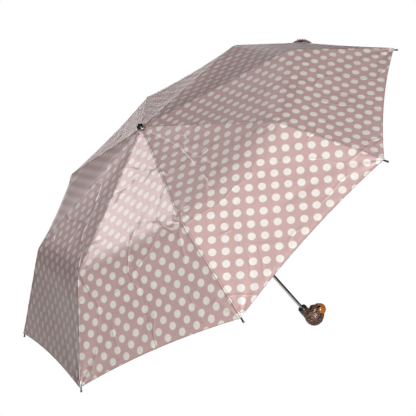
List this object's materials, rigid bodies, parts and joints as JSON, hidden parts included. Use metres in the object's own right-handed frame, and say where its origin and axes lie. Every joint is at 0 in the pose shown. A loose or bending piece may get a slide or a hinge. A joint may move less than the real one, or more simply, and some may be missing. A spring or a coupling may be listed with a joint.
{
  "type": "folding umbrella",
  "caption": "Compact folding umbrella, open: domed polka-dot canopy on folding ribs, telescoping shaft and a carved animal-head handle.",
  "frame": {"origin": "on the shaft's axis where the shaft leaves the handle's neck, at the top of the hand grip", "axes": "+Z along the shaft to the ferrule; +X along rib 1; the other ribs follow every 45 degrees; the bill points 13.4 degrees from +X toward +Y"},
  "size_m": [0.9702, 0.9702, 0.6189],
  "materials": {
    "canopy_cloth": "mauve-pink satin polyester with woven off-white dots",
    "strap_cloth": "dark brown ribbed strap",
    "shaft_steel": "satin plated steel tube",
    "frame_steel": "black lacquered steel",
    "outer_rib_metal": "dark plated spring steel with burnished tips",
    "black_plastic": "moulded black nylon",
    "washer_metal": "bright nickel plate",
    "ferrule_plastic": "polished black cap",
    "handle_resin": "cast resin, dark brown with bronze rubbed on the carving",
    "bill_resin": "amber resin, polished",
    "eye_glass": "black glass eye, polished"
  },
  "bodies": {
    "handle": {"handle_head": "handle_resin", "handle_bill": "bill_resin", "handle_eye_left": "eye_glass", "handle_eye_right": "eye_glass", "shaft_lower": "shaft_steel", "bush_lower": "black_plastic"},
    "middle_tube": {"shaft_middle": "shaft_steel", "bush_middle": "black_plastic"},
    "upper_tube": {"shaft_upper": "shaft_steel", "crown": "black_plastic", "crown_wire": "frame_steel", "cap_washer": "washer_metal", "ferrule": "ferrule_plastic"},
    "runner": {"runner": "black_plastic"},
    "runner_catch": {"runner_catch": "frame_steel"},
    "inner_rib_1": {"inner_rib_1": "frame_steel", "canopy_gore_1": "canopy_cloth"},
    "stretcher_1": {"stretcher_1": "frame_steel"},
    "middle_rib_1": {"middle_rib_1": "frame_steel"},
    "outer_rib_1": {"outer_rib_1": "outer_rib_metal"},
    "inner_rib_2": {"inner_rib_2": "frame_steel", "canopy_gore_2": "canopy_cloth"},
    "stretcher_2": {"stretcher_2": "frame_steel"},
    "middle_rib_2": {"middle_rib_2": "frame_steel"},
    "outer_rib_2": {"outer_rib_2": "outer_rib_metal", "tie_strap": "strap_cloth", "strap_stud": "washer_metal"},
    "inner_rib_3": {"inner_rib_3": "frame_steel", "canopy_gore_3": "canopy_cloth"},
    "stretcher_3": {"stretcher_3": "frame_steel"},
    "middle_rib_3": {"middle_rib_3": "frame_steel"},
    "outer_rib_3": {"outer_rib_3": "outer_rib_metal"},
    "inner_rib_4": {"inner_rib_4": "frame_steel", "canopy_gore_4": "canopy_cloth"},
    "stretcher_4": {"stretcher_4": "frame_steel"},
    "middle_rib_4": {"middle_rib_4": "frame_steel"},
    "outer_rib_4": {"outer_rib_4": "outer_rib_metal"},
    "inner_rib_5": {"inner_rib_5": "frame_steel", "canopy_gore_5": "canopy_cloth"},
    "stretcher_5": {"stretcher_5": "frame_steel"},
    "middle_rib_5": {"middle_rib_5": "frame_steel"},
    "outer_rib_5": {"outer_rib_5": "outer_rib_metal"},
    "inner_rib_6": {"inner_rib_6": "frame_steel", "canopy_gore_6": "canopy_cloth"},
    "stretcher_6": {"stretcher_6": "frame_steel"},
    "middle_rib_6": {"middle_rib_6": "frame_steel"},
    "outer_rib_6": {"outer_rib_6": "outer_rib_metal"},
    "inner_rib_7": {"inner_rib_7": "frame_steel", "canopy_gore_7": "canopy_cloth"},
    "stretcher_7": {"stretcher_7": "frame_steel"},
    "middle_rib_7": {"middle_rib_7": "frame_steel"},
    "outer_rib_7": {"outer_rib_7": "outer_rib_metal"},
    "inner_rib_8": {"inner_rib_8": "frame_steel", "canopy_gore_8": "canopy_cloth"},
    "stretcher_8": {"stretcher_8": "frame_steel"},
    "middle_rib_8": {"middle_rib_8": "frame_steel"},
    "outer_rib_8": {"outer_rib_8": "outer_rib_metal"}
  },
  "joints": [
    {"name": "middle_tube_slide", "type": "slide", "parent": "handle", "child": "middle_tube", "axis": [0, 0, -1], "range_m": [0, 0.15975]},
    {"name": "upper_tube_slide", "type": "slide", "parent": "middle_tube", "child": "upper_tube", "axis": [0, 0, -1], "range_m": [0, 0.15975]},
    {"name": "runner_slide", "type": "slide", "parent": "upper_tube", "child": "runner", "axis": [0, 0, -1], "range_m": [0, 0.12142]},
    {"name": "runner_catch_press", "type": "slide", "parent": "upper_tube", "child": "runner_catch", "axis": [0, -1, 0], "range_m": [0, 0.00095], "stiffness_N_per_m": 800, "springref_m": -0.0006},
    {"name": "inner_rib_1_hinge", "type": "hinge", "parent": "upper_tube", "child": "inner_rib_1", "pos_m": [0.012, 0, 0.5425], "axis": [0, 1, 0], "range_deg": [0, 78.66], "deforming": ["canopy_gore_1"]},
    {"name": "stretcher_1_hinge", "type": "hinge", "parent": "inner_rib_1", "child": "stretcher_1", "pos_m": [0.09961, 0, 0.52164], "axis": [0, -1, 0], "range_deg": [0, 138.52]},
    {"name": "middle_rib_1_hinge", "type": "hinge", "parent": "inner_rib_1", "child": "middle_rib_1", "pos_m": [0.16923, 0, 0.5128], "axis": [0, -1, 0], "range_deg": [0, 180.02]},
    {"name": "outer_rib_1_hinge", "type": "hinge", "parent": "middle_rib_1", "child": "outer_rib_1", "pos_m": [0.32014, 0, 0.47906], "axis": [0, 1, 0], "range_deg": [0, 151.89]},
    {"name": "inner_rib_2_hinge", "type": "hinge", "parent": "upper_tube", "child": "inner_rib_2", "pos_m": [0.00849, 0.00849, 0.5425], "axis": [-0.7071, 0.7071, 0], "range_deg": [0, 78.66], "deforming": ["canopy_gore_2"]},
    {"name": "stretcher_2_hinge", "type": "hinge", "parent": "inner_rib_2", "child": "stretcher_2", "pos_m": [0.07043, 0.07043, 0.52164], "axis": [0.7071, -0.7071, 0], "range_deg": [0, 138.52]},
    {"name": "middle_rib_2_hinge", "type": "hinge", "parent": "inner_rib_2", "child": "middle_rib_2", "pos_m": [0.11966, 0.11966, 0.5128], "axis": [0.7071, -0.7071, 0], "range_deg": [0, 180.02]},
    {"name": "outer_rib_2_hinge", "type": "hinge", "parent": "middle_rib_2", "child": "outer_rib_2", "pos_m": [0.22637, 0.22637, 0.47906], "axis": [-0.7071, 0.7071, 0], "range_deg": [0, 151.89]},
    {"name": "inner_rib_3_hinge", "type": "hinge", "parent": "upper_tube", "child": "inner_rib_3", "pos_m": [0, 0.012, 0.5425], "axis": [-1, 0, 0], "range_deg": [0, 78.66], "deforming": ["canopy_gore_3"]},
    {"name": "stretcher_3_hinge", "type": "hinge", "parent": "inner_rib_3", "child": "stretcher_3", "pos_m": [0, 0.09961, 0.52164], "axis": [1, 0, 0], "range_deg": [0, 138.52]},
    {"name": "middle_rib_3_hinge", "type": "hinge", "parent": "inner_rib_3", "child": "middle_rib_3", "pos_m": [0, 0.16923, 0.5128], "axis": [1, 0, 0], "range_deg": [0, 180.02]},
    {"name": "outer_rib_3_hinge", "type": "hinge", "parent": "middle_rib_3", "child": "outer_rib_3", "pos_m": [0, 0.32014, 0.47906], "axis": [-1, 0, 0], "range_deg": [0, 151.89]},
    {"name": "inner_rib_4_hinge", "type": "hinge", "parent": "upper_tube", "child": "inner_rib_4", "pos_m": [-0.00849, 0.00849, 0.5425], "axis": [-0.7071, -0.7071, 0], "range_deg": [0, 78.66], "deforming": ["canopy_gore_4"]},
    {"name": "stretcher_4_hinge", "type": "hinge", "parent": "inner_rib_4", "child": "stretcher_4", "pos_m": [-0.07043, 0.07043, 0.52164], "axis": [0.7071, 0.7071, 0], "range_deg": [0, 138.52]},
    {"name": "middle_rib_4_hinge", "type": "hinge", "parent": "inner_rib_4", "child": "middle_rib_4", "pos_m": [-0.11966, 0.11966, 0.5128], "axis": [0.7071, 0.7071, 0], "range_deg": [0, 180.02]},
    {"name": "outer_rib_4_hinge", "type": "hinge", "parent": "middle_rib_4", "child": "outer_rib_4", "pos_m": [-0.22637, 0.22637, 0.47906], "axis": [-0.7071, -0.7071, 0], "range_deg": [0, 151.89]},
    {"name": "inner_rib_5_hinge", "type": "hinge", "parent": "upper_tube", "child": "inner_rib_5", "pos_m": [-0.012, 0, 0.5425], "axis": [0, -1, 0], "range_deg": [0, 78.66], "deforming": ["canopy_gore_5"]},
    {"name": "stretcher_5_hinge", "type": "hinge", "parent": "inner_rib_5", "child": "stretcher_5", "pos_m": [-0.09961, 0, 0.52164], "axis": [0, 1, 0], "range_deg": [0, 138.52]},
    {"name": "middle_rib_5_hinge", "type": "hinge", "parent": "inner_rib_5", "child": "middle_rib_5", "pos_m": [-0.16923, 0, 0.5128], "axis": [0, 1, 0], "range_deg": [0, 180.02]},
    {"name": "outer_rib_5_hinge", "type": "hinge", "parent": "middle_rib_5", "child": "outer_rib_5", "pos_m": [-0.32014, 0, 0.47906], "axis": [0, -1, 0], "range_deg": [0, 151.89]},
    {"name": "inner_rib_6_hinge", "type": "hinge", "parent": "upper_tube", "child": "inner_rib_6", "pos_m": [-0.00849, -0.00849, 0.5425], "axis": [0.7071, -0.7071, 0], "range_deg": [0, 78.66], "deforming": ["canopy_gore_6"]},
    {"name": "stretcher_6_hinge", "type": "hinge", "parent": "inner_rib_6", "child": "stretcher_6", "pos_m": [-0.07043, -0.07043, 0.52164], "axis": [-0.7071, 0.7071, 0], "range_deg": [0, 138.52]},
    {"name": "middle_rib_6_hinge", "type": "hinge", "parent": "inner_rib_6", "child": "middle_rib_6", "pos_m": [-0.11966, -0.11966, 0.5128], "axis": [-0.7071, 0.7071, 0], "range_deg": [0, 180.02]},
    {"name": "outer_rib_6_hinge", "type": "hinge", "parent": "middle_rib_6", "child": "outer_rib_6", "pos_m": [-0.22637, -0.22637, 0.47906], "axis": [0.7071, -0.7071, 0], "range_deg": [0, 151.89]},
    {"name": "inner_rib_7_hinge", "type": "hinge", "parent": "upper_tube", "child": "inner_rib_7", "pos_m": [0, -0.012, 0.5425], "axis": [1, 0, 0], "range_deg": [0, 78.66], "deforming": ["canopy_gore_7"]},
    {"name": "stretcher_7_hinge", "type": "hinge", "parent": "inner_rib_7", "child": "stretcher_7", "pos_m": [0, -0.09961, 0.52164], "axis": [-1, 0, 0], "range_deg": [0, 138.52]},
    {"name": "middle_rib_7_hinge", "type": "hinge", "parent": "inner_rib_7", "child": "middle_rib_7", "pos_m": [0, -0.16923, 0.5128], "axis": [-1, 0, 0], "range_deg": [0, 180.02]},
    {"name": "outer_rib_7_hinge", "type": "hinge", "parent": "middle_rib_7", "child": "outer_rib_7", "pos_m": [0, -0.32014, 0.47906], "axis": [1, 0, 0], "range_deg": [0, 151.89]},
    {"name": "inner_rib_8_hinge", "type": "hinge", "parent": "upper_tube", "child": "inner_rib_8", "pos_m": [0.00849, -0.00849, 0.5425], "axis": [0.7071, 0.7071, 0], "range_deg": [0, 78.66], "deforming": ["canopy_gore_8"]},
    {"name": "stretcher_8_hinge", "type": "hinge", "parent": "inner_rib_8", "child": "stretcher_8", "pos_m": [0.07043, -0.07043, 0.52164], "axis": [-0.7071, -0.7071, 0], "range_deg": [0, 138.52]},
    {"name": "middle_rib_8_hinge", "type": "hinge", "parent": "inner_rib_8", "child": "middle_rib_8", "pos_m": [0.11966, -0.11966, 0.5128], "axis": [-0.7071, -0.7071, 0], "range_deg": [0, 180.02]},
    {"name": "outer_rib_8_hinge", "type": "hinge", "parent": "middle_rib_8", "child": "outer_rib_8", "pos_m": [0.22637, -0.22637, 0.47906], "axis": [0.7071, 0.7071, 0], "range_deg": [0, 151.89]}
  ],
  "couplings": [
    {"joint": "inner_rib_1_hinge", "follows": "runner_slide", "rad_per_m": 11.304},
    {"joint": "stretcher_1_hinge", "follows": "runner_slide", "rad_per_m": 19.909},
    {"joint": "middle_rib_1_hinge", "follows": "runner_slide", "rad_per_m": 25.874},
    {"joint": "outer_rib_1_hinge", "follows": "runner_slide", "rad_per_m": 21.831},
    {"joint": "inner_rib_2_hinge", "follows": "runner_slide", "rad_per_m": 11.304},
    {"joint": "stretcher_2_hinge", "follows": "runner_slide", "rad_per_m": 19.909},
    {"joint": "middle_rib_2_hinge", "follows": "runner_slide", "rad_per_m": 25.874},
    {"joint": "outer_rib_2_hinge", "follows": "runner_slide", "rad_per_m": 21.831},
    {"joint": "inner_rib_3_hinge", "follows": "runner_slide", "rad_per_m": 11.304},
    {"joint": "stretcher_3_hinge", "follows": "runner_slide", "rad_per_m": 19.909},
    {"joint": "middle_rib_3_hinge", "follows": "runner_slide", "rad_per_m": 25.874},
    {"joint": "outer_rib_3_hinge", "follows": "runner_slide", "rad_per_m": 21.831},
    {"joint": "inner_rib_4_hinge", "follows": "runner_slide", "rad_per_m": 11.304},
    {"joint": "stretcher_4_hinge", "follows": "runner_slide", "rad_per_m": 19.909},
    {"joint": "middle_rib_4_hinge", "follows": "runner_slide", "rad_per_m": 25.874},
    {"joint": "outer_rib_4_hinge", "follows": "runner_slide", "rad_per_m": 21.831},
    {"joint": "inner_rib_5_hinge", "follows": "runner_slide", "rad_per_m": 11.304},
    {"joint": "stretcher_5_hinge", "follows": "runner_slide", "rad_per_m": 19.909},
    {"joint": "middle_rib_5_hinge", "follows": "runner_slide", "rad_per_m": 25.874},
    {"joint": "outer_rib_5_hinge", "follows": "runner_slide", "rad_per_m": 21.831},
    {"joint": "inner_rib_6_hinge", "follows": "runner_slide", "rad_per_m": 11.304},
    {"joint": "stretcher_6_hinge", "follows": "runner_slide", "rad_per_m": 19.909},
    {"joint": "middle_rib_6_hinge", "follows": "runner_slide", "rad_per_m": 25.874},
    {"joint": "outer_rib_6_hinge", "follows": "runner_slide", "rad_per_m": 21.831},
    {"joint": "inner_rib_7_hinge", "follows": "runner_slide", "rad_per_m": 11.304},
    {"joint": "stretcher_7_hinge", "follows": "runner_slide", "rad_per_m": 19.909},
    {"joint": "middle_rib_7_hinge", "follows": "runner_slide", "rad_per_m": 25.874},
    {"joint": "outer_rib_7_hinge", "follows": "runner_slide", "rad_per_m": 21.831},
    {"joint": "inner_rib_8_hinge", "follows": "runner_slide", "rad_per_m": 11.304},
    {"joint": "stretcher_8_hinge", "follows": "runner_slide", "rad_per_m": 19.909},
    {"joint": "middle_rib_8_hinge", "follows": "runner_slide", "rad_per_m": 25.874},
    {"joint": "outer_rib_8_hinge", "follows": "runner_slide", "rad_per_m": 21.831}
  ]
}
